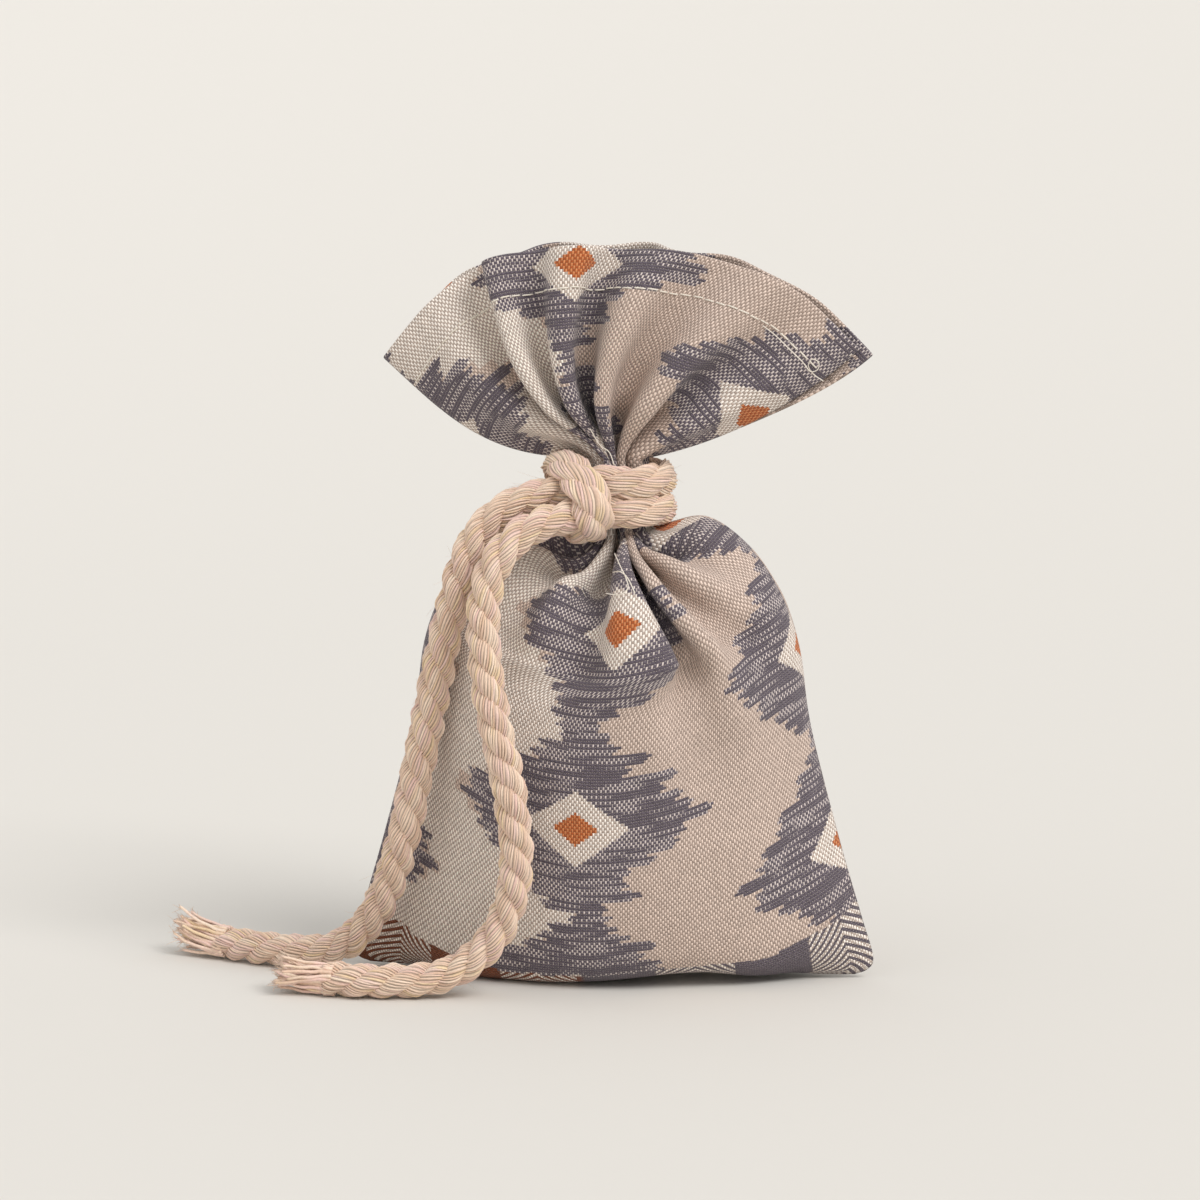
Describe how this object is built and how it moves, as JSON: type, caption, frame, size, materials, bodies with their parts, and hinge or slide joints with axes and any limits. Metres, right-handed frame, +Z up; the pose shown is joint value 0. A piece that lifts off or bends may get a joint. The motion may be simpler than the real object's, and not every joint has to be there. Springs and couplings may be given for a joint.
{
  "type": "drawstring pouch",
  "caption": "Small filled cloth pouch with a seamed belly, gathered at the neck under a flared mouth and tied with a doubled cord whose two ends hang to the table.",
  "frame": {"origin": "on the table, under the middle of the pouch between its two bottom corners", "axes": "+Z up, -Y to the printed front, X along the base seam with +X to the right of someone who faces the front"},
  "size_m": [0.1571, 0.0617, 0.1574],
  "materials": {
    "printed_cloth": "coarse plain-weave cotton and linen, woven in sand and slate",
    "cotton_cord": "soft three-strand twisted cotton",
    "sachet": "thin plain muslin",
    "filling": "loose dry filling"
  },
  "bodies": {
    "root": {"front_panel": "printed_cloth", "back_panel": "printed_cloth", "sachet_front": "sachet", "sachet_back": "sachet", "filling": "filling", "neck_turns": "cotton_cord", "tail_rear": "cotton_cord", "tail_front": "cotton_cord", "frayed_end_rear": "cotton_cord", "frayed_end_front": "cotton_cord"}
  },
  "joints": []
}
